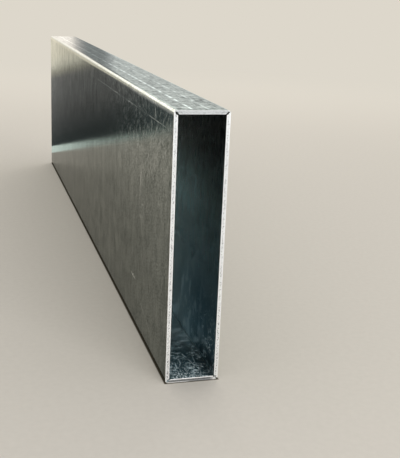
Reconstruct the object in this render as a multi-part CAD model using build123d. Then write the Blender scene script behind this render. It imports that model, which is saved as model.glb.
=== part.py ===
from build123d import *
import math
import os

# Rectangular stainless steel tube, 100 x 20 mm in section, folded from one sheet.
# The sheet's inner face is V-grooved along three lines and folded there, so each folded corner is sharp
# inside, has a small radius outside, and keeps a narrow slot on its diagonal where the groove closed.
# The sheet's two mitred edges meet on the fourth corner, where a weld closes the seam from outside.
# The weld stops short of each end, so the mitre stands open there.
# Millimetres. Z is up, Y runs along the tube and X across its narrow width.
# The origin is the middle of the footprint, on the surface that the tube stands on.

# Driving dimensions
tube_width = 20.0
tube_height = 100.0
tube_length = 400.0
wall = 1.5
fold_radius = 1.2  # outer radius of each corner
groove_gap = 0.4  # between the faces of a closed groove
groove_skin = 0.45  # metal left outside a groove, which the fold bends
seam_gap = 0.3  # between the sheet's two mitred edges
weld_depth = 0.5  # reach of the seam's weld, from the outer surface inwards
seam_open_length = 4.0  # from each end to where the weld starts
cut_edge_break = 0.1  # chamfer left on the edges of both cut ends

# Sizes that follow
bore_width = tube_width - 2 * wall
bore_height = tube_height - 2 * wall
corner_thickness = wall * math.sqrt(2) - fold_radius * (math.sqrt(2) - 1)  # measured on the diagonal
section_plane = Plane(origin=(0, 0, tube_height / 2), x_dir=(1, 0, 0), z_dir=(0, -1, 0))


def sheet_section():
    """Outline of the folded sheet, before its corners are slotted: a rounded box round a sharp bore."""
    return RectangleRounded(tube_width, tube_height, fold_radius) - Rectangle(bore_width, bore_height)


def corner_slot(side_x, side_z, gap, depth):
    """Slot with a round bottom, from an inner corner of the bore outwards along the corner's diagonal."""
    straight = depth - gap / 2
    start = -gap  # inside the bore, so that the mouth is cut clean
    slot = Pos((start + straight) / 2, 0) * Rectangle(straight - start, gap)
    slot += Pos(straight, 0) * Circle(gap / 2)
    inner_corner = Pos(side_x * bore_width / 2, side_z * bore_height / 2)
    return inner_corner * Rot(0, 0, math.degrees(math.atan2(side_z, side_x))) * slot


def along_tube(profile, length):
    """Profile drawn across the tube, made solid over a length centred on the middle of the tube."""
    return extrude(section_plane * profile, amount=length / 2, both=True)


def rectangular_tube():
    """The folded and welded tube, as one solid."""
    section = sheet_section()
    for side_x, side_z in ((-1, 1), (1, 1), (-1, -1)):
        section -= corner_slot(side_x, side_z, groove_gap, corner_thickness - groove_skin)
    section -= corner_slot(1, -1, seam_gap, corner_thickness - weld_depth)
    tube = along_tube(section, tube_length)

    seam_mitre = corner_slot(1, -1, seam_gap, corner_thickness + seam_gap)
    welded_length = tube_length - 2 * seam_open_length
    tube -= along_tube(seam_mitre, tube_length + seam_gap) - along_tube(seam_mitre, welded_length)

    end_faces = tube.faces().filter_by(Axis.Y).group_by(Axis.Y)
    cut_edges = ShapeList(end_faces[0] + end_faces[-1]).edges()
    return chamfer(cut_edges, cut_edge_break)


os.makedirs("parts", exist_ok=True)
export_step(rectangular_tube(), "parts/rectangular_tube.step")
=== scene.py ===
import math

import bmesh
import bpy
from mathutils import Matrix, Vector


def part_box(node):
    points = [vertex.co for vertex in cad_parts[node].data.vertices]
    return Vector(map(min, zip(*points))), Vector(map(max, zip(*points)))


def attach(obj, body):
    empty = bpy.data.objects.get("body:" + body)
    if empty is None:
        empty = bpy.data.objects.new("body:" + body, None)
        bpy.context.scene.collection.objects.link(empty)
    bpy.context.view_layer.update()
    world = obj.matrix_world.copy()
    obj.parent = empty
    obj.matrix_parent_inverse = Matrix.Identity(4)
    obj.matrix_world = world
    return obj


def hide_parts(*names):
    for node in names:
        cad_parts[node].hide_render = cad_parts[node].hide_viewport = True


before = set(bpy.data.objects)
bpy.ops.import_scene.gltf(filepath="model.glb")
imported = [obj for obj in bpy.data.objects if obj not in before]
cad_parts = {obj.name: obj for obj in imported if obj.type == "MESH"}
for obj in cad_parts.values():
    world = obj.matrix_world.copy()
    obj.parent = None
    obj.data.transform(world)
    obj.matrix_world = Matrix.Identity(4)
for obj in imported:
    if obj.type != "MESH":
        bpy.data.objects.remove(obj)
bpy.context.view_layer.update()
mm = 0.001

# Camera. It stands in front of the near cut end, a little to the left of the tube and above it, and looks
# down along the left side. Its place and lens were fitted to the tube's edges in the photograph.
photo_width, photo_height = 400, 458  # pixels
focal_length = 830.3  # pixels
eye = Vector((-77.4, -467.9, 138.3)) * mm
turn_right = math.radians(16.26)
look_down = math.radians(15.97)
roll = math.radians(2.46)

camera_data = bpy.data.cameras.new("camera")
camera_data.sensor_width = 36.0
camera_data.lens = camera_data.sensor_width * focal_length / max(photo_width, photo_height)
camera_data.clip_start = 10 * mm
camera = bpy.data.objects.new("camera", camera_data)
camera.matrix_world = (
    Matrix.Translation(eye)
    @ Matrix.Rotation(-turn_right, 4, "Z")
    @ Matrix.Rotation(math.pi / 2 - look_down, 4, "X")
    @ Matrix.Rotation(roll, 4, "Z")
)
bpy.context.scene.collection.objects.link(camera)
bpy.context.scene.camera = camera
bpy.context.scene.view_settings.view_transform = "Standard"


# Floor: a plain pale mat of matt vinyl, which takes the tube's soft shadow and shows in its side. A narrow dark
# line along the foot is a painted contact shadow, and far off the floor passes into the colour of the surround.
def linear(hex_colour):
    """Linear colour of an sRGB hex value."""
    channels = [int(hex_colour[i : i + 2], 16) / 255 for i in (1, 3, 5)]
    return tuple(c / 12.92 if c <= 0.04045 else ((c + 0.055) / 1.055) ** 2.4 for c in channels) + (1.0,)


def add_node(tree, kind, inputs=None, **settings):
    """Adds a shader node with its settings. Its inputs, by name or number, take values, sockets or nodes."""
    node = tree.nodes.new("ShaderNode" + kind)
    for name, value in settings.items():
        setattr(node, name, value)
    for name, value in (inputs or {}).items():
        sockets = {socket.name: socket for socket in reversed(node.inputs) if socket.enabled}
        socket = node.inputs[name] if isinstance(name, int) else sockets[name]
        if isinstance(value, bpy.types.Node):
            value = next(output for output in value.outputs if output.enabled)
        if isinstance(value, bpy.types.NodeSocket):
            tree.links.new(value, socket)
        else:
            socket.default_value = value
    return node


def new_material(name):
    """An empty material, its node tree and its object coordinates."""
    material = bpy.data.materials.new(name)
    material.use_nodes = True
    tree = material.node_tree
    tree.nodes.clear()
    return material, tree, add_node(tree, "TexCoord").outputs["Object"]


def mesh_object(name, mesh_data, materials):
    """Finishes a bmesh as an object at the origin, with its materials."""
    mesh = bpy.data.meshes.new(name)
    mesh_data.to_mesh(mesh)
    mesh_data.free()
    for material in materials:
        mesh.materials.append(material)
    made = bpy.data.objects.new(name, mesh)
    bpy.context.scene.collection.objects.link(made)
    return made


lowest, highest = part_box("rectangular_tube")
width = highest.x - lowest.x
height = highest.z - lowest.z
half_length = (highest.y - lowest.y) / 2


def place_on_tube(tree, position):
    """Where a point lies: its coordinates, its distance from the plane of the near end, and its depths inside
    the sides, the ends and the flanges."""
    axes = add_node(tree, "SeparateXYZ", {"Vector": position}).outputs
    place = {"x": axes["X"], "y": axes["Y"], "z": axes["Z"]}
    place["from_near"] = add_node(tree, "Math", {0: place["y"], 1: half_length}, operation="ADD")
    for name, axis, middle, half_size in (
            ("from_side", "x", 0.0, width / 2),
            ("from_end", "y", 0.0, half_length),
            ("from_flange", "z", height / 2, height / 2)):
        offset = add_node(tree, "Math", {0: place[axis], 1: middle}, operation="SUBTRACT")
        offset = add_node(tree, "Math", {0: offset}, operation="ABSOLUTE")
        place[name] = add_node(tree, "Math", {0: half_size, 1: offset}, operation="SUBTRACT")
    return place


def rays_to_background(tree):
    """1 for the rays that show the background, which are camera, glossy and transmission rays."""
    rays = add_node(tree, "LightPath").outputs
    shown = rays["Is Camera Ray"]
    for kind in ("Is Glossy Ray", "Is Transmission Ray"):
        shown = add_node(tree, "Math", {0: shown, 1: rays[kind]}, operation="MAXIMUM")
    return shown


floor_half_size = 20.0
mat_colour = linear("#d2ccc2")
mat_colour_dark = linear("#cac4ba")
mat_grain = 2.5 * mm
contact_shadow_colour = linear("#4d473a")
contact_shadow_reach = 0.15 * mm
contact_shadow_softness = 0.4 * mm
contact_shadow_end_share = 0.8  # the line reaches a little further past the ends than past the sides
surround_colour = linear("#ddd7cb")
fade_start, fade_end = 0.35, 1.1

floor_material, tree, position = new_material("matt_vinyl")
place = place_on_tube(tree, position)
grain = add_node(tree, "TexNoise", {"Vector": position, "Scale": 1 / mat_grain, "Detail": 3.0})
colour = add_node(tree, "Mix", {"Factor": grain, "A": mat_colour_dark, "B": mat_colour}, data_type="RGBA")
from_end = add_node(tree, "Math", {0: place["from_end"], 1: contact_shadow_end_share}, operation="MULTIPLY")
inside = add_node(tree, "Math", {0: place["from_side"], 1: from_end}, operation="MINIMUM")
# Painted contact shadow: a narrow dark line on the floor along the tube's foot.
contact_shadow = add_node(tree, "MapRange", {
    "Value": inside, "From Min": -contact_shadow_reach - contact_shadow_softness, "From Max": -contact_shadow_reach})
colour = add_node(tree, "Mix", {"Factor": contact_shadow, "A": colour, "B": contact_shadow_colour}, data_type="RGBA")
vinyl = add_node(tree, "BsdfPrincipled", {
    "Base Color": colour, "Roughness": 0.6, "Specular IOR Level": 0.0})
far_glow = add_node(tree, "Emission", {"Color": surround_colour})
distance = add_node(tree, "VectorMath", {0: position}, operation="LENGTH")
fade = add_node(tree, "MapRange", {
    "Value": distance, "From Min": fade_start, "From Max": fade_end}, interpolation_type="SMOOTHSTEP")
faded = add_node(tree, "Math", {0: fade, 1: rays_to_background(tree)}, operation="MULTIPLY")
mat = add_node(tree, "MixShader", {0: faded, 1: vinyl, 2: far_glow})
add_node(tree, "OutputMaterial", {"Surface": mat})

floor_mesh = bmesh.new()
bmesh.ops.create_grid(floor_mesh, x_segments=1, y_segments=1, size=floor_half_size)
floor = mesh_object("floor", floor_mesh, [floor_material])

# Light: an even pale surround, a large soft light behind and above the tube, and a smaller one in front. Where
# the background shows, the surround has its own plain colour at a strength of 1.
surround_light = 0.74

world = bpy.data.worlds.new("surround")
world.use_nodes = True
bpy.context.scene.world = world
tree = world.node_tree
tree.nodes.clear()
lighting = add_node(tree, "Background", {"Color": linear("#ffffff"), "Strength": surround_light})
backdrop = add_node(tree, "Background", {"Color": surround_colour})
mixed = add_node(tree, "MixShader", {0: rays_to_background(tree), 1: lighting, 2: backdrop})
add_node(tree, "OutputWorld", {"Surface": mixed})


def soft_light(name, place, width, depth, watts, colour):
    """A rectangular soft light that faces the middle of the tube and isn't seen itself."""
    data = bpy.data.lights.new(name, "AREA")
    data.shape = "RECTANGLE"
    data.size = width
    data.size_y = depth
    data.energy = watts
    data.color = colour[:3]
    lamp = bpy.data.objects.new(name, data)
    towards_tube = Vector((0, 0, height / 2)) - place
    turned = towards_tube.to_track_quat("-Z", "Y").to_matrix().to_4x4()
    lamp.matrix_world = Matrix.Translation(place) @ turned
    lamp.visible_camera = False
    bpy.context.scene.collection.objects.link(lamp)


soft_light("back_light", Vector((0.35, 1.1, 0.75)), width=1.6, depth=0.7, watts=7.0, colour=linear("#fffdf6"))
soft_light("front_light", Vector((0.3, -1.2, 0.4)), width=0.8, depth=0.5, watts=7.0, colour=linear("#fbfdff"))


# Studio cards, which stand outside the picture and show in reflections alone. A dark one stands low behind the
# left side, aslant and on a pale foot. A tall pale one behind it, with a grey stripe down it and dimmer edges,
# shows in the top and the folds, and a white one low in front lights the cut end.
def studio_card(name, left, right, bottom, top, strength, *ramps):
    """An upright card between two places on the floor, seen by reflected rays alone. Its glow is its strength
    times its ramps. A ramp is a direction and its stops, each a distance in millimetres and a colour."""
    material, tree, position = new_material(name)
    colour = linear("#ffffff")
    for direction, stops in ramps:
        first, last = stops[0][0], stops[-1][0]
        along = add_node(tree, "VectorMath", {0: position, 1: direction}, operation="DOT_PRODUCT")
        share = add_node(tree, "MapRange", {"Value": along, "From Min": first * mm, "From Max": last * mm})
        ramp = add_node(tree, "ValToRGB", {"Fac": share})
        for distance, shade in stops[1:-1]:
            ramp.color_ramp.elements.new((distance - first) / (last - first))
        for element, (distance, shade) in zip(ramp.color_ramp.elements, stops):
            element.color = linear(shade)
        colour = add_node(tree, "Mix", {"Factor": 1.0, "A": colour, "B": ramp},
                          data_type="RGBA", blend_type="MULTIPLY")
    light = add_node(tree, "Emission", {"Color": colour, "Strength": strength})
    add_node(tree, "OutputMaterial", {"Surface": light})
    mesh = bmesh.new()
    foot = mesh.edges.new([mesh.verts.new((*end, bottom)) for end in (left, right)])
    raised = bmesh.ops.extrude_edge_only(mesh, edges=[foot])["geom"]
    raised = [item for item in raised if isinstance(item, bmesh.types.BMVert)]
    bmesh.ops.translate(mesh, vec=(0, 0, top - bottom), verts=raised)
    card = mesh_object(name, mesh, [material])
    card.visible_camera = False
    card.visible_diffuse = False
    card.visible_shadow = False


upwards, rightwards, up_and_right = (0, 0, 1), (1, 0, 0), (0.18, 0, 1)
dark_left, dark_right = Vector((-300, 450)) * mm, Vector((-12, 236)) * mm
dark_foot = 6.5 * mm
studio_card("card_foot", dark_left, dark_right, 0.7 * mm, dark_foot, 1.4,
            (rightwards, ((-120, "#929d97"), (-60, "#b4c2bb"), (-20, "#ecfcf4"))))
studio_card("dark_card", dark_left, dark_right, dark_foot, 100 * mm, 3.65,
            (up_and_right, (
                (0, "#343a3b"), (8, "#3d4242"), (20, "#505252"), (33, "#626261"), (45, "#6f6f6e"),
                (60, "#7b7a78"), (65, "#a6a295"), (69, "#cfcbbb"), (73, "#e8e2d0"), (80, "#f4ecd8"))),
            (rightwards, (
                (-139, "#ffffff"), (-113, "#e6e6e6"), (-101, "#cbcbcb"), (-85, "#aaaaaa"), (-26, "#aaaaaa"),
                (-14, "#bcbcbc"))))
back, pale_foot = 400 * mm, 25 * mm
studio_card("under_card", Vector((-12 * mm, back)), Vector((300 * mm, back)), 0.0, pale_foot, 0.04,
            (upwards, ((0, "#e0f0f0"), (25, "#ffffff"))))
studio_card("pale_card", Vector((-340 * mm, back)), Vector((440 * mm, back)), pale_foot, 400 * mm, 3.3,
            (upwards, ((120, "#bfbfbf"), (220, "#ffffff"), (290, "#ffffff"), (400, "#7f7f7f"))),
            (rightwards, (
                (-340, "#7f7f7f"), (-240, "#fffaf0"), (26, "#fffaf0"), (31, "#f0ebe1"), (36, "#bcbab4"),
                (42, "#939593"), (48, "#7f8584"), (64, "#7f8584"), (71, "#a0a6a5"), (78, "#c0c7c4"),
                (320, "#c0c7c4"), (440, "#7f7f7f"))))
front = -560 * mm
studio_card("front_card", Vector((-100 * mm, front)), Vector((500 * mm, front)), 0.0, 180 * mm, 1.3,
            (upwards, ((0, "#ffffff"), (180, "#f4f4f4"))))

# Rectangular tube: stainless sheet 1.5 mm thick, V-grooved on its inner face and folded to a box. Three
# corners are folds, whose closed grooves stay as slots on the diagonal. The fourth is the seam, welded from
# outside to short of each end. Its outer size is read from the frame.
wall = 1.5 * mm
fold_radius = 1.2 * mm
fold_segments = 12
groove_gap = 0.4 * mm
groove_skin = 0.45 * mm
seam_gap = 0.3 * mm
weld_depth = 0.5 * mm
seam_open_length = 4.0 * mm
tolerance = 0.001 * mm
same_direction = 0.999  # least cosine between directions that count as one

welded_half_length = half_length - seam_open_length
bore_half_width = width / 2 - wall
bore_half_height = height / 2 - wall
corner_thickness = wall * math.sqrt(2) - fold_radius * (math.sqrt(2) - 1)
seam_corner = (1, -1)
corners = ((-1, 1), (1, 1), (-1, -1), seam_corner)

tube_mesh = bmesh.new()
bmesh.ops.create_grid(tube_mesh, x_segments=1, y_segments=1, size=0.5)
stand_up = Matrix.Rotation(math.pi / 2, 4, "X") @ Matrix.Diagonal((width, height, 1, 1))
to_near_end = Matrix.Translation((0, -welded_half_length, height / 2))
bmesh.ops.transform(tube_mesh, matrix=to_near_end @ stand_up, verts=tube_mesh.verts)
bmesh.ops.bevel(tube_mesh, geom=tube_mesh.verts[:], offset=fold_radius, segments=fold_segments, profile=0.5,
                affect="VERTICES", material=-1)


def cut(faces, point, normal):
    """Cuts some faces of the tube along a plane."""
    ends = {vertex for face in faces for vertex in face.verts}
    edges = {edge for face in faces for edge in face.edges}
    bmesh.ops.bisect_plane(tube_mesh, geom=list(ends) + list(edges) + list(faces), dist=0.1 * tolerance,
                           plane_co=point, plane_no=normal)


def cut_along_bore(find_faces):
    """Cuts faces along the planes of the bore's four walls. The faces are found anew before each cut."""
    for side in (-1, 1):
        cut(find_faces(), (side * bore_half_width, 0, 0), (1, 0, 0))
        cut(find_faces(), (0, 0, height / 2 + side * bore_half_height), (0, 0, 1))


def corner_frame(corner):
    """The bore's inner corner on that side, the direction out along its diagonal and the one across it."""
    side_x, side_z = corner
    inner_corner = Vector((side_x * bore_half_width, 0, height / 2 + side_z * bore_half_height))
    outwards = Vector((side_x, 0, side_z)).normalized()
    across = Vector((-side_z, 0, side_x)).normalized()
    return inner_corner, outwards, across


def in_corner_strip(face, corner, gap, nearest, farthest):
    """True for a face whose middle is on a corner's diagonal, within half a gap, and between two depths."""
    inner_corner, outwards, across = corner_frame(corner)
    middle = face.calc_center_median()
    offset = Vector((middle.x, 0, middle.z)) - inner_corner
    return abs(offset.dot(across)) < gap / 2 and nearest < offset.dot(outwards) < farthest


cut_along_bore(lambda: tube_mesh.faces[:])
bore_opening = []
for face in tube_mesh.faces:
    middle = face.calc_center_median()
    if abs(middle.x) < bore_half_width and abs(middle.z - height / 2) < bore_half_height:
        bore_opening.append(face)
bmesh.ops.delete(tube_mesh, geom=bore_opening, context="FACES")

for corner in corners:
    gap = seam_gap if corner == seam_corner else groove_gap
    depth = corner_thickness - (weld_depth if corner == seam_corner else groove_skin)
    inner_corner, outwards, across = corner_frame(corner)
    inner_corner.y = -welded_half_length
    for offset, normal in (
            (across * gap / 2, across), (across * -gap / 2, across), (outwards * depth, outwards)):
        near = [face for face in tube_mesh.faces
                if min((vertex.co - inner_corner).length for vertex in face.verts) < gap]
        cut(near, inner_corner + offset, normal)
    slot = [face for face in tube_mesh.faces if in_corner_strip(face, corner, gap, -gap, depth)]
    bmesh.ops.delete(tube_mesh, geom=slot, context="FACES")


def extrude(faces, length):
    """Extrudes faces of the tube along Y."""
    grown = bmesh.ops.extrude_face_region(tube_mesh, geom=faces)["geom"]
    moved = [item for item in grown if isinstance(item, bmesh.types.BMVert)]
    bmesh.ops.translate(tube_mesh, vec=(0, length, 0), verts=moved)


extrude(tube_mesh.faces[:], 2 * welded_half_length)
bmesh.ops.recalc_face_normals(tube_mesh, faces=tube_mesh.faces)
for end in (-1, 1):
    cap = [face for face in tube_mesh.faces
           if face.normal.y * end > same_direction
           and not in_corner_strip(face, seam_corner, seam_gap, 0, 2 * wall)]
    extrude(cap, end * seam_open_length)
    bmesh.ops.delete(tube_mesh, geom=cap, context="FACES")
tube_mesh.normal_update()

# Cut ends: the tube was sheared square to its length, and the edges of both cuts broken by a light pass of a
# file. Each end is one face while its rim is broken, and is then split again along the bore and the corners.
edge_break = 0.1 * mm


def cut_ends():
    """The faces that lie on the two cut ends."""
    return [face for face in tube_mesh.faces
            if abs(face.calc_center_median().y) > half_length - tolerance]


bmesh.ops.dissolve_faces(tube_mesh, faces=cut_ends())
rims = [edge for face in cut_ends() for edge in face.edges]
bmesh.ops.bevel(tube_mesh, geom=rims, offset=edge_break, segments=2, profile=0.5, affect="EDGES", material=-1)
cut_along_bore(cut_ends)
for corner in corners:
    inner_corner, outwards, across = corner_frame(corner)
    near = [face for face in cut_ends() if in_corner_strip(face, corner, wall, 0, 2 * wall)]
    cut(near, inner_corner, across)

# Die marks: the shoulders of the bending die pressed a fine line into each outer side below its top fold. The
# lines run out a little short of the ends.
mark_distance = 7.5 * mm
mark_half_width = 0.17 * mm
mark_depth = 0.02 * mm
mark_end = half_length - 9 * mm
mark_run_out = 4 * mm


def press_mark(outward):
    """Presses a shallow V line along the tube into the side that faces outward."""
    across = outward.cross(Vector((0, 1, 0)))
    point = outward * width / 2 + Vector((0, 0, height - mark_distance))

    def side(reach):
        return [face for face in tube_mesh.faces
                if face.normal.dot(outward) > same_direction
                and abs((face.calc_center_median() - point).dot(outward)) < tolerance
                and abs(face.calc_center_median().y) < reach]

    for reach in (mark_end + mark_run_out, mark_end):
        for end in (-1, 1):
            cut(side(half_length), (0, end * reach, 0), (0, 1, 0))
    for shift in (-mark_half_width, 0, mark_half_width):
        cut(side(mark_end + mark_run_out), point + across * shift, across)
    for vertex in tube_mesh.verts:
        offset = vertex.co - point
        on_line = abs(offset.dot(outward)) < tolerance and abs(offset.dot(across)) < tolerance
        if on_line and abs(vertex.co.y) < mark_end + tolerance:
            vertex.co -= outward * mark_depth


press_mark(Vector((-1, 0, 0)))
press_mark(Vector((1, 0, 0)))

# Outer finish: cold-rolled stainless steel with its mill finish. The rolls leave a fine grain round the girth,
# so that reflections blur along the tube and stay streaky across it. Handling left dull clouds and scratches.
grain_pitch = 1.2 * mm  # really about 0.1 mm, and drawn coarser so that it shows
grain_length = 10 * mm
smear_pitch = 4 * mm
smear_length = 40 * mm
cloud_size = 9 * mm
speckle_pitch = 1.8 * mm
speckle_length = 0.5 * mm
wave_size = 70 * mm
foot_shade_height = 0.6 * mm
steel_face = linear("#c4cac7")
steel_face_dull = linear("#959c99")
steel_bright = linear("#e6e9e6")
steel_tint = linear("#c6c6c3")  # at a grazing view
steel_tint_dull = linear("#989997")


def zone_masks(tree, zones):
    """Masks by name. A zone holds a measure, its value where the mask starts and its value where it is full."""
    masks = {}
    for name, (measure, start, full) in zones.items():
        masks[name] = add_node(tree, "MapRange", {"Value": measure, "From Min": start, "From Max": full})
    return masks


def band(tree, value, middle, half_width, softness):
    """A mask that is 1 within a half width of a middle value and fades out over a softness."""
    offset = add_node(tree, "Math", {0: value, 1: middle}, operation="SUBTRACT")
    offset = add_node(tree, "Math", {0: offset}, operation="ABSOLUTE")
    return add_node(tree, "MapRange", {
        "Value": offset, "From Min": half_width + softness, "From Max": half_width})


def streaks(tree, position, girth, pitch, detail, roughness=0.5):
    """A noise with one size round the tube's girth and another, its pitch, along the tube."""
    stretched = add_node(tree, "Mapping", {
        "Vector": position, "Scale": (1 / girth, 1 / pitch, 1 / girth)})
    return add_node(tree, "TexNoise", {
        "Vector": stretched, "Scale": 1.0, "Detail": detail, "Roughness": roughness})


def spot(tree, position, middle, radii, turn=(0, 0, 0)):
    """A mask that falls from 1 at a middle point to 0 at three radii, which may be turned."""
    nearness = add_node(tree, "Mapping", {
        "Vector": position, "Location": middle, "Rotation": turn, "Scale": radii}, vector_type="TEXTURE")
    return add_node(tree, "TexGradient", {"Vector": nearness}, gradient_type="SPHERICAL")


def wandering(tree, position, size, reach):
    """The position shifted by a noise of one size and reach, so that what is drawn from it wavers."""
    shift = add_node(tree, "TexNoise", {"Vector": position, "Scale": 1 / size, "Detail": 3.0})
    shift = add_node(tree, "VectorMath", {0: shift.outputs["Color"], 1: (0.5, 0.5, 0.5)}, operation="SUBTRACT")
    shift = add_node(tree, "VectorMath", {0: shift, "Scale": reach}, operation="SCALE")
    return add_node(tree, "VectorMath", {0: position, 1: shift}, operation="ADD")


mill_steel, tree, position = new_material("mill_finish_stainless")
place = place_on_tube(tree, position)
masks = zone_masks(tree, {
    "on_top": (place["z"], height - 0.5 * mm, height - 0.1 * mm),
    "by_top": (place["z"], height - fold_radius - 1.5 * mm, height - fold_radius - 0.7 * mm),
    "by_foot": (place["z"], foot_shade_height + 0.4 * mm, foot_shade_height),
    "on_fold": (place["from_side"], fold_radius + 0.4 * mm, fold_radius + 0.15 * mm),
    "by_cut": (place["from_end"], 4.5 * mm, 0.5 * mm),
})

grain = streaks(tree, position, grain_length, grain_pitch, 5.0)
smears = streaks(tree, position, smear_length, smear_pitch, 2.0)
speckle = streaks(tree, position, speckle_length, speckle_pitch, 2.0)
clouds = add_node(tree, "TexNoise", {
    "Vector": position, "Scale": 1 / cloud_size, "Detail": 5.0, "Roughness": 0.6})
waves = add_node(tree, "TexNoise", {"Vector": position, "Scale": 1 / wave_size, "Detail": 1.0})
cloudy_grain = add_node(tree, "Math", {0: grain, 1: clouds}, operation="ADD")
shade = add_node(tree, "Math", {0: cloudy_grain, 1: smears}, operation="ADD")
shade = add_node(tree, "Math", {0: speckle, 1: 2.0, 2: shade}, operation="MULTIPLY_ADD")
shade = add_node(tree, "MapRange", {"Value": shade, "From Min": 2.1, "From Max": 2.9})
mottle = add_node(tree, "Math", {0: speckle, 1: 3.0, 2: cloudy_grain}, operation="MULTIPLY_ADD")
mottle = add_node(tree, "MapRange", {"Value": mottle, "From Min": 2.05, "From Max": 2.95})

# On the top, dried oil lies in flecks across the tube, and rubs run along it.
fleck_length = 2.8 * mm
fleck_pitch = 1.7 * mm
rub_width = 0.6 * mm
rub_length = 9 * mm
top_tint = linear("#d6d3d1")
top_tint_dull = linear("#666565")
flecks = streaks(tree, position, fleck_length, fleck_pitch, 5.0, roughness=0.72)
top_rubs = streaks(tree, position, rub_width, rub_length, 2.0)
fleck = add_node(tree, "Math", {0: top_rubs, 1: 0.4, 2: flecks}, operation="MULTIPLY_ADD")
fleck = add_node(tree, "MapRange", {"Value": fleck, "From Min": 0.52, "From Max": 0.88})

# The top folds take an even brighter tint, a painted highlight; the folds by the floor are painted shade.
fold_highlight_tint = linear("#c8c7c4")
foot_shade_colour = linear("#3a3835")
painted_fold_highlight = add_node(tree, "Math", {0: masks["by_top"], 1: masks["on_fold"]}, operation="MULTIPLY")
painted_foot_shade = add_node(tree, "Math", {0: masks["by_foot"], 1: masks["on_fold"]}, operation="MULTIPLY")

# Beside each fold the flats begin to roll over, by about a tenth of a millimetre.
rolled_width = 1.3 * mm
rolled_depth = 0.15 * mm
rolled_over = 0.0
for depth in (place["from_side"], place["from_flange"]):
    rolling = add_node(tree, "MapRange", {
        "Value": depth, "From Min": fold_radius + rolled_width, "From Max": fold_radius})
    rolling = add_node(tree, "Math", {0: rolling, 1: 2.0}, operation="POWER")
    rolled_over = add_node(tree, "Math", {0: rolled_over, 1: rolling}, operation="SUBTRACT")

# Dashes that the die left in two rows on the top, like its lines on the sides. Each row has its place across
# the tube, its half width and its strength.
dash_rows = ((-3.2 * mm, 0.3 * mm, 0.75), (2.7 * mm, 0.25 * mm, 0.4))
dash_pitch = 9.3 * mm
first_dash = 6 * mm
dash_count = add_node(tree, "Math", {
    0: place["from_near"], 1: 1 / dash_pitch, 2: 0.5 - first_dash / dash_pitch}, operation="MULTIPLY_ADD")
dash_cell = add_node(tree, "TexVoronoi", {
    "W": dash_count, "Scale": 1.0, "Randomness": 0.6}, voronoi_dimensions="1D")
dash = add_node(tree, "MapRange", {
    "Value": dash_cell, "From Min": 0.22, "From Max": 0.36, "To Min": 1.0, "To Max": 0.15})
dash_wear = add_node(tree, "MapRange", {"Value": flecks, "From Min": 0.35, "From Max": 0.55, "To Min": 0.4})
for mask in (masks["on_top"], dash_wear):
    dash = add_node(tree, "Math", {0: dash, 1: mask}, operation="MULTIPLY")
bright = 0.0
for row, half_wide, strength in dash_rows:
    in_row = band(tree, place["x"], row, half_wide, 0.25 * mm)
    for factor in (strength, dash):
        in_row = add_node(tree, "Math", {0: in_row, 1: factor}, operation="MULTIPLY")
    bright = add_node(tree, "Math", {0: bright, 1: in_row}, operation="MAXIMUM")

# The side's die marks are burnished, more in places, and are brightest towards the near end.
line_patch = 14 * mm
line_noise = add_node(tree, "TexNoise", {"Vector": position, "Scale": 1 / line_patch, "Detail": 3.0})
line = add_node(tree, "MapRange", {
    "Value": line_noise, "From Min": 0.38, "From Max": 0.62, "To Min": 0.2, "To Max": 0.6})
on_mark = band(tree, place["z"], height - mark_distance, 0.15 * mm, 0.12 * mm)
toward_near = band(tree, place["from_near"], 0.0, 90 * mm, 120 * mm)
short_of_ends = band(tree, place["y"], 0.0, mark_end, mark_run_out)
for mask in (on_mark, toward_near, short_of_ends):
    line = add_node(tree, "Math", {0: line, 1: mask}, operation="MULTIPLY")

# Scratches and scuffs on the left side. Each holds its distance from the near end and its height, its half
# length and half width, all in millimetres, the turn of its length from level, and its strength.
scratches = (
    (28.0, 95.0, 3.4, 0.5, 90, 0.9),
    (25.0, 89.5, 2.8, 0.5, 60, 0.7),
    (19.7, 95.5, 2.8, 0.4, 90, 0.7),
    (12.7, 96.0, 2.2, 0.4, 90, 0.5),
    (51.5, 63.0, 17.0, 1.6, 84, 0.3),
    (50.5, 59.0, 1.6, 1.0, 60, 0.45),
    (46.5, 55.5, 2.2, 0.6, 0, 0.5),
    (50.0, 50.0, 4.0, 1.2, 0, 0.35),
    (62.0, 20.5, 7.0, 0.55, 0, 0.8),
    (44.0, 13.0, 9.0, 0.7, -14, 0.4),
    (31.0, 9.5, 5.0, 0.6, -16, 0.5),
    (15.5, 69.0, 1.4, 0.4, 8, 0.6),
)
scratch_depth = 4 * mm  # how far into the tube a mark's radius reaches
wavering = wandering(tree, position, size=1.5 * mm, reach=1.6 * mm)
scratched = 0.0
for from_near, level, half_long, half_wide, turn, strength in scratches:
    mark = spot(tree, wavering, (-width / 2, from_near * mm - half_length, level * mm),
                (scratch_depth, half_long * mm, half_wide * mm), (-math.radians(turn), 0, 0))
    mark = add_node(tree, "MapRange", {"Value": mark, "From Max": 0.6, "To Max": strength})
    scratched = add_node(tree, "Math", {0: scratched, 1: mark}, operation="MAXIMUM")
worn_through = add_node(tree, "MapRange", {
    "Value": grain, "From Min": 0.35, "From Max": 0.6, "To Min": 0.4, "To Max": 1.0})
scratched = add_node(tree, "Math", {0: scratched, 1: worn_through}, operation="MULTIPLY")

# Fine rubs lie over the upper near part of the left side, where the tube was handled.
rubbed_middle = (-width / 2, 50 * mm - half_length, 92 * mm)
rubbed = spot(tree, position, rubbed_middle, (scratch_depth, 140 * mm, 50 * mm))
rubs = streaks(tree, position, 1.8 * mm, 1.5 * mm, 3.0)
rubs = add_node(tree, "MapRange", {"Value": rubs, "From Min": 0.48, "From Max": 0.74, "To Max": 0.55})
rubbed = add_node(tree, "Math", {0: rubbed, 1: rubs}, operation="MULTIPLY")
scratched = add_node(tree, "Math", {0: scratched, 1: rubbed}, operation="MAXIMUM")

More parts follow.
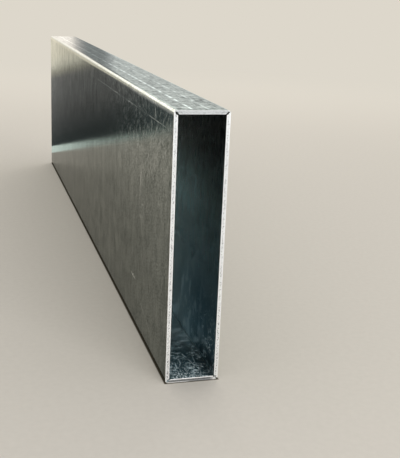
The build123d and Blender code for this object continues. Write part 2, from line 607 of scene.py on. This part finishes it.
# The last few millimetres by a cut are ticked by the blade's burr.
tick_width = 0.9 * mm
tick_length = 4 * mm
tick_colour = linear("#3a3c3b")
ticks = streaks(tree, position, tick_width, tick_length, 3.0)
ticked = add_node(tree, "MapRange", {"Value": ticks, "From Min": 0.5, "From Max": 0.62, "To Max": 0.4})
ticked = add_node(tree, "Math", {0: ticked, 1: masks["by_cut"]}, operation="MULTIPLY")

# The colour faces the eye, and the tint is what a metal turns to at a grazing view. Marks are rougher.
rougher = ticked
for mark in (line, scratched):
    bright = add_node(tree, "Math", {0: bright, 1: mark}, operation="MAXIMUM")
    rougher = add_node(tree, "Math", {0: rougher, 1: mark}, operation="MAXIMUM")
colour = add_node(tree, "Mix", {"Factor": shade, "A": steel_face_dull, "B": steel_face}, data_type="RGBA")
# The dark colour and tint of the folds by the floor are painted shade; the top folds' tint is a painted
# highlight.
for mask, mask_colour in ((bright, steel_bright), (painted_foot_shade, foot_shade_colour), (ticked, tick_colour)):
    colour = add_node(tree, "Mix", {"Factor": mask, "A": colour, "B": mask_colour}, data_type="RGBA")
tint = add_node(tree, "Mix", {"Factor": mottle, "A": steel_tint_dull, "B": steel_tint}, data_type="RGBA")
fleck_tint = add_node(tree, "Mix", {"Factor": fleck, "A": top_tint_dull, "B": top_tint}, data_type="RGBA")
for mask, mask_tint in (
        (masks["on_top"], fleck_tint), (painted_fold_highlight, fold_highlight_tint), (bright, linear("#ffffff")),
        (painted_foot_shade, foot_shade_colour)):
    tint = add_node(tree, "Mix", {"Factor": mask, "A": tint, "B": mask_tint}, data_type="RGBA")
roughness = add_node(tree, "MapRange", {"Value": shade, "To Min": 0.14, "To Max": 0.07})
roughness = add_node(tree, "Math", {0: rougher, 1: 0.3, 2: roughness}, operation="MULTIPLY_ADD")
bump = add_node(tree, "Bump", {"Height": waves, "Distance": 0.2 * mm})
for relief, depth in ((rolled_over, rolled_depth), (grain, 0.03 * mm), (ticked, 0.03 * mm)):
    bump = add_node(tree, "Bump", {"Height": relief, "Distance": depth, "Normal": bump})
steel = add_node(tree, "BsdfPrincipled", {
    "Base Color": colour, "Metallic": 1.0, "Roughness": roughness, "Specular Tint": tint, "Normal": bump})
add_node(tree, "OutputMaterial", {"Surface": steel})

# Sheared faces: bare stainless steel. The blade leaves a bright burnished border at the outer edge, and the
# rest of the thickness tears to a coarse bright grain with dark specks. The upper part and the top wall are
# painted greyer, as painted shade. The foot is darker still, all but its inner edge.
speck_size = 0.35 * mm
blotch_size = 4 * mm
torn_half_width = 0.15 * mm
foot_dark_depth = 0.8 * mm
foot_dark_half_width = 0.28 * mm
sheared_bright = linear("#f2f3f3")
sheared_torn = linear("#d6d7d8")
upper_shade_tone = linear("#e4e5e5")
top_wall_shade_tone = linear("#d9dadb")
foot_tone = linear("#63676a")
speck_colour = linear("#868789")
opening_shade_colour = linear("#2c2723")

sheared_steel, tree, position = new_material("sheared_stainless")
place = place_on_tube(tree, position)
masks = zone_masks(tree, {
    "higher": (place["z"], 20 * mm, 80 * mm),
    "right_half": (place["x"], -3 * mm, 0.0),
    "off_seam": (place["x"], 8.2 * mm, 7 * mm),
})
from_side, from_flange = place["from_side"], place["from_flange"]
depth_in_wall = add_node(tree, "Math", {0: from_side, 1: from_flange}, operation="MINIMUM")
on_flange = add_node(tree, "Math", {0: from_side, 1: from_flange}, operation="GREATER_THAN")
above_middle = add_node(tree, "Math", {0: place["z"], 1: height / 2}, operation="GREATER_THAN")
on_top_wall = add_node(tree, "Math", {0: on_flange, 1: above_middle}, operation="MULTIPLY")
on_foot = add_node(tree, "Math", {0: on_flange, 1: on_top_wall}, operation="SUBTRACT")

specks = add_node(tree, "TexNoise", {"Vector": position, "Scale": 1 / speck_size, "Detail": 3.0})
blotches = add_node(tree, "TexNoise", {"Vector": position, "Scale": 1 / blotch_size, "Detail": 2.0})
torn = band(tree, depth_in_wall, wall / 2, torn_half_width, 0.4 * mm)
speck = add_node(tree, "MapRange", {"Value": specks, "From Min": 0.52, "From Max": 0.62})
speck = add_node(tree, "Math", {0: speck, 1: torn}, operation="MULTIPLY")
torn = add_node(tree, "Math", {0: torn, 1: blotches}, operation="MULTIPLY")

foot_dark = band(tree, depth_in_wall, foot_dark_depth, foot_dark_half_width, 0.15 * mm)
foot_flecks = add_node(tree, "MapRange", {
    "Value": specks, "From Min": 0.45, "From Max": 0.65, "To Min": 0.95, "To Max": 0.4})
foot_dark = add_node(tree, "Math", {0: foot_dark, 1: foot_flecks}, operation="MULTIPLY")
foot_border = add_node(tree, "MapRange", {
    "Value": depth_in_wall, "From Min": 0.5 * mm, "From Max": 0.3 * mm, "To Max": 0.75})
foot_border = add_node(tree, "Math", {0: foot_border, 1: masks["right_half"]}, operation="MULTIPLY")
foot_dark = add_node(tree, "Math", {0: foot_dark, 1: foot_border}, operation="MAXIMUM")
for mask in (on_foot, masks["off_seam"]):
    foot_dark = add_node(tree, "Math", {0: foot_dark, 1: mask}, operation="MULTIPLY")

colour = add_node(tree, "Mix", {"Factor": torn, "A": sheared_bright, "B": sheared_torn}, data_type="RGBA")
# Painted shade: the upper part and the top wall greyer.
for mask, tone in ((masks["higher"], upper_shade_tone), (on_top_wall, top_wall_shade_tone)):
    colour = add_node(tree, "Mix", {"Factor": mask, "A": colour, "B": tone},
                      data_type="RGBA", blend_type="MULTIPLY")
for mask, mask_colour in ((speck, speck_colour), (foot_dark, foot_tone)):
    colour = add_node(tree, "Mix", {"Factor": mask, "A": colour, "B": mask_colour}, data_type="RGBA")

# The groove is torn wider at the upper left corner, and oil lies in the open seam. Both dark spots are mostly
# painted shade of these openings. Each has its middle across and up the tube, and its radius, in millimetres.
for middle_x, middle_z, radius in ((-8.9, 98.9, 0.75), (8.5, 1.4, 0.5)):
    middle = Vector((middle_x * mm, -half_length, middle_z * mm))
    opening_shade = spot(tree, position, middle, (radius * mm, 1 * mm, radius * mm))
    opening_shade = add_node(tree, "MapRange", {"Value": opening_shade, "From Min": 0.2, "From Max": 0.5})
    colour = add_node(tree, "Mix", {"Factor": opening_shade, "A": colour, "B": opening_shade_colour}, data_type="RGBA")
bump = add_node(tree, "Bump", {"Height": specks, "Distance": 0.05 * mm})
steel = add_node(tree, "BsdfPrincipled", {
    "Base Color": colour, "Metallic": 1.0, "Roughness": 0.5, "Normal": bump})
add_node(tree, "OutputMaterial", {"Surface": steel})

# Bore: the sheet's inner face, bright from the mill and cooled by a trace of oil. It is painted brighter low
# down and darker under the top in the near part, as painted light and shade. Offcuts and fingers pushed in at
# the mouth scratched its floor and wall and left flecks of swarf by the cut, and the mouth is painted darker.
bore_grain_pitch = 0.7 * mm
swarf_width = 0.4 * mm
swarf_length = 1.1 * mm
curl_size = 2.8 * mm
patch_size = 4 * mm
wisp_length = 7 * mm
wisp_pitch = 4 * mm
bore_face = linear("#e7f8fb")
bore_face_dull = linear("#b2b8b5")
bore_top_shade = linear("#474d4c")
bore_scuff = linear("#7ba2ae")
bore_scratch = linear("#e9f8fa")
mouth_shade_tone = linear("#c0c6c6")
low_wall_shade_tone = linear("#95b1c0")
corner_shade_tone = linear("#7d8688")
further_in_tone = linear("#dde1e2")

bore_steel, tree, position = new_material("bore_stainless")
place = place_on_tube(tree, position)
masks = zone_masks(tree, {
    "low": (place["z"], 85 * mm, 40 * mm),
    "shaded_top": (place["z"], 62 * mm, 86 * mm),
    "shaded_near": (place["from_near"], 240 * mm, 140 * mm),
    "on_floor": (place["z"], 4 * mm, 2 * mm),
    "on_wall": (place["z"], 1.6 * mm, 3 * mm),
    "near_floor": (place["z"], 40 * mm, 4 * mm),
    "wall_shade_low": (place["z"], 46 * mm, 26 * mm),
    "wall_shade_near": (place["from_near"], 60 * mm, 24 * mm),
    "corner_shade_low": (place["z"], 11 * mm, 4 * mm),
    "wisps_low": (place["z"], 40 * mm, 25 * mm),
    "toward_mouth": (place["from_end"], 75 * mm, 12 * mm),
    "by_mouth": (place["from_end"], 40 * mm, 8 * mm),
    "by_cut": (place["from_end"], 20 * mm, 2 * mm),
    "off_seam": (place["x"], 7 * mm, 1 * mm),
})
on_floor, by_mouth = masks["on_floor"], masks["by_mouth"]

grain = streaks(tree, position, grain_length, bore_grain_pitch, 4.0)
clouds = add_node(tree, "TexNoise", {"Vector": position, "Scale": 1 / cloud_size, "Detail": 4.0})
shade = add_node(tree, "Math", {0: grain, 1: clouds}, operation="ADD")
shade = add_node(tree, "MapRange", {"Value": shade, "From Min": 0.75, "From Max": 1.25})
# Random tone, and painted light: brighter towards the floor.
grain_and_painted_light = add_node(tree, "Math", {0: shade, 1: 0.25, 2: masks["low"]}, operation="MULTIPLY_ADD")
# Painted shade: darker under the top, in the near part.
painted_top_shade = add_node(tree, "Math", {0: masks["shaded_top"], 1: masks["shaded_near"]}, operation="MULTIPLY")

# Painted shade: the lower wall behind the mouth is darker and bluer, and the lower corners by the mouth darker
# still. The floor is a little darker further in. Scuffs lie on the floor by the mouth, fewer towards the seam.
painted_wall_shade = masks["wall_shade_low"]
for mask in (masks["wall_shade_near"], masks["on_wall"]):
    painted_wall_shade = add_node(tree, "Math", {0: painted_wall_shade, 1: mask}, operation="MULTIPLY")
painted_corner_shade = add_node(tree, "Math", {0: masks["corner_shade_low"], 1: by_mouth}, operation="MULTIPLY")
further_in_darkening = band(tree, place["from_near"], 80 * mm, 30 * mm, 20 * mm)
further_in_darkening = add_node(tree, "Math", {0: further_in_darkening, 1: on_floor}, operation="MULTIPLY")
off_seam = add_node(tree, "MapRange", {"Value": masks["off_seam"], "To Min": 0.25})
open_floor = add_node(tree, "Math", {0: on_floor, 1: off_seam}, operation="MULTIPLY")
scuffed = add_node(tree, "Math", {0: by_mouth, 1: open_floor}, operation="MULTIPLY")

# Single scratches. Each holds its place across the tube, its distance from the near end and its height, its
# radii across, along and up, all in millimetres, its strength, and its turns about X and Z in degrees.
bore_scratches = (
    (0.0, 22.0, 1.5, 0.56, 1.6, 0.6, 0.75, 0, 84),
    (1.9, 19.2, 1.5, 0.35, 2.6, 0.6, 0.75, 0, 18),
    (3.1, 12.9, 1.5, 0.26, 4.6, 0.6, 0.7, 0, 8),
    (4.75, 15.0, 1.5, 0.22, 7.0, 0.6, 0.45, 0, 0),
    (5.6, 33.0, 1.5, 1.28, 3.2, 1.28, 0.65, 0, 90),
    (-3.3, 10.6, 1.5, 0.32, 3.8, 0.6, 0.8, 0, -4),
    (-6.6, 8.0, 1.5, 0.32, 1.8, 0.6, 0.9, 0, 0),
    (-5.4, 9.9, 1.5, 0.64, 1.2, 0.64, 0.8, 0, 90),
    (-4.2, 7.6, 1.5, 0.32, 1.8, 0.6, 0.8, 0, 10),
    (-6.9, 24.0, 1.5, 0.32, 6.0, 0.6, 0.4, 0, -6),
    (-1.2, 12.0, 1.5, 0.29, 3.0, 0.6, 0.6, 0, -20),
    (0.6, 9.0, 1.5, 0.29, 2.6, 0.6, 0.6, 0, 14),
    (3.1, 5.9, 1.5, 0.8, 1.1, 0.8, 1.0, 0, 80),
    (8.5, 25.5, 5.0, 0.48, 6.5, 1.7, 0.5, -22, 0),
    (8.5, 14.5, 9.0, 0.48, 6.0, 1.35, 0.4, -15, 0),
    (8.5, 38.0, 2.5, 2.4, 3.5, 2.4, 0.25, 0, 0),
)
wavering = wandering(tree, position, size=3 * mm, reach=1.5 * mm)
scratched = 0.0
for x, from_near, z, across, along, up, strength, turn_x, turn_z in bore_scratches:
    mark = spot(tree, wavering, (x * mm, from_near * mm - half_length, z * mm),
                (across * mm, along * mm, up * mm), (math.radians(turn_x), 0, math.radians(turn_z)))
    mark = add_node(tree, "MapRange", {"Value": mark, "From Max": 0.5, "To Max": strength})
    scratched = add_node(tree, "Math", {0: scratched, 1: mark}, operation="MAXIMUM")

# Swarf flecks on the floor by the cut.
swarf = streaks(tree, wavering, swarf_width, swarf_length, 2.0)
swarf = add_node(tree, "MapRange", {"Value": swarf, "From Min": 0.53, "From Max": 0.57})
for mask in (masks["by_cut"], open_floor):
    swarf = add_node(tree, "Math", {0: swarf, 1: mask}, operation="MULTIPLY")

# Curled hair scratches in patches, denser towards the floor and the mouth.
curls = add_node(tree, "TexNoise", {"Vector": position, "Scale": 1 / curl_size, "Detail": 2.0})
curls = band(tree, curls, 0.5, 0.01, 0.022)
patches = add_node(tree, "TexNoise", {"Vector": position, "Scale": 1 / patch_size, "Detail": 2.0})
patches = add_node(tree, "MapRange", {"Value": patches, "From Min": 0.42, "From Max": 0.56})
for mask in (patches, masks["near_floor"], masks["toward_mouth"]):
    curls = add_node(tree, "Math", {0: curls, 1: mask}, operation="MULTIPLY")

# Wisps of rubbed metal low on the wall, further in, and fainter ones across the floor.
wisps = streaks(tree, wavering, wisp_length, wisp_pitch, 6.0)
wisps = add_node(tree, "MapRange", {"Value": wisps, "From Min": 0.52, "From Max": 0.6, "To Max": 0.9})
fainter_on_floor = add_node(tree, "MapRange", {"Value": masks["on_wall"], "To Min": 0.65})
further_in = band(tree, place["from_near"], 70 * mm, 20 * mm, 40 * mm)
for mask in (masks["wisps_low"], fainter_on_floor, further_in):
    wisps = add_node(tree, "Math", {0: wisps, 1: mask}, operation="MULTIPLY")

# The seam's slot is painted matt and pale, as the weld's root and as painted light that lifts its shade, less
# by the mouth.
slot_margin = 0.02 * mm
weld_root_and_fill_light = add_node(tree, "MapRange", {"Value": by_mouth, "To Min": 1.0, "To Max": 0.6})
past_wall = add_node(tree, "Math", {0: place["x"], 1: bore_half_width + slot_margin}, operation="GREATER_THAN")
under_floor = add_node(tree, "Math", {0: place["z"], 1: wall - slot_margin}, operation="LESS_THAN")
for mask in (past_wall, under_floor):
    weld_root_and_fill_light = add_node(tree, "Math", {0: weld_root_and_fill_light, 1: mask}, operation="MULTIPLY")

for marks in (swarf, curls, wisps, weld_root_and_fill_light):
    scratched = add_node(tree, "Math", {0: scratched, 1: marks}, operation="MAXIMUM")
colour = add_node(tree, "Mix", {"Factor": grain_and_painted_light, "A": bore_face_dull, "B": bore_face}, data_type="RGBA")
colour = add_node(tree, "Mix", {"Factor": painted_top_shade, "A": colour, "B": bore_top_shade}, data_type="RGBA")
# Painted shade by the mouth, on the lower wall and in the lower corners; the floor further in is darker.
for mask, tone in ((by_mouth, mouth_shade_tone), (painted_wall_shade, low_wall_shade_tone), (painted_corner_shade, corner_shade_tone), (further_in_darkening, further_in_tone)):
    colour = add_node(tree, "Mix", {"Factor": mask, "A": colour, "B": tone},
                      data_type="RGBA", blend_type="MULTIPLY")
for mask, mask_colour in ((scuffed, bore_scuff), (scratched, bore_scratch)):
    colour = add_node(tree, "Mix", {"Factor": mask, "A": colour, "B": mask_colour}, data_type="RGBA")
roughness = add_node(tree, "MapRange", {"Value": shade, "To Min": 0.3, "To Max": 0.25})
roughness = add_node(tree, "Math", {
    0: masks["near_floor"], 1: 0.18, 2: roughness}, operation="MULTIPLY_ADD")
unmarked = add_node(tree, "Math", {0: 1.0, 1: scratched}, operation="SUBTRACT")
bump = add_node(tree, "Bump", {"Height": grain, "Distance": 0.02 * mm})
steel = add_node(tree, "BsdfPrincipled", {
    "Base Color": colour, "Metallic": unmarked, "Roughness": roughness, "Normal": bump})
add_node(tree, "OutputMaterial", {"Surface": steel})

# Weld: the seam was closed from outside in one pass, and stands flush. Its surface keeps fine ripples across
# the corner, with straw heat tints between them.
ripple_pitch = 0.8 * mm
ripple_depth = 0.03 * mm
heat_patch = 3 * mm
weld_metal = linear("#a9a79f")
weld_straw = linear("#a38f6c")

weld_steel, tree, position = new_material("seam_weld")
place = place_on_tube(tree, position)
uneven = add_node(tree, "TexNoise", {"Vector": position, "Scale": 1 / heat_patch, "Detail": 2.0})
drift = add_node(tree, "Math", {0: uneven, 1: 4.0}, operation="MULTIPLY")
along = add_node(tree, "Math", {
    0: place["y"], 1: 2 * math.pi / ripple_pitch, 2: drift}, operation="MULTIPLY_ADD")
ripples = add_node(tree, "Math", {0: along}, operation="SINE")
straw = add_node(tree, "MapRange", {"Value": uneven, "From Min": 0.4, "From Max": 0.65})
colour = add_node(tree, "Mix", {"Factor": straw, "A": weld_metal, "B": weld_straw}, data_type="RGBA")
bump = add_node(tree, "Bump", {"Height": ripples, "Distance": ripple_depth})
steel = add_node(tree, "BsdfPrincipled", {
    "Base Color": colour, "Metallic": 1.0, "Roughness": 0.3, "Normal": bump})
add_node(tree, "OutputMaterial", {"Surface": steel})

# Finished tube: each face takes the material of the surface that it belongs to, and the flat walls shade as
# flat right up to their folds.
outer_skin = 0.36 * mm  # less than the metal outside a groove or the depth of the weld
sharp_angle = math.radians(12)
on_outside, on_cut, on_bore, on_weld = range(4)

tube_mesh.normal_update()
for face in tube_mesh.faces:
    middle = face.calc_center_median()
    depth = min(width / 2 - abs(middle.x), height / 2 - abs(middle.z - height / 2))
    at_seam = middle.x > width / 2 - fold_radius and middle.z < fold_radius
    if abs(middle.y) > half_length - edge_break:
        face.material_index = on_cut
    elif depth >= outer_skin:
        face.material_index = on_bore
    elif at_seam and abs(middle.y) < welded_half_length:
        face.material_index = on_weld
    else:
        face.material_index = on_outside
    face.smooth = face.material_index != on_cut
for edge in tube_mesh.edges:
    edge.smooth = edge.calc_face_angle(0) < sharp_angle

finishes = [mill_steel, sheared_steel, bore_steel, weld_steel]
tube = mesh_object("rectangular_tube_finished", tube_mesh, finishes)
even_shading = tube.modifiers.new("even_shading", "WEIGHTED_NORMAL")
even_shading.keep_sharp = True
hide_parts("rectangular_tube")
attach(tube, "root")
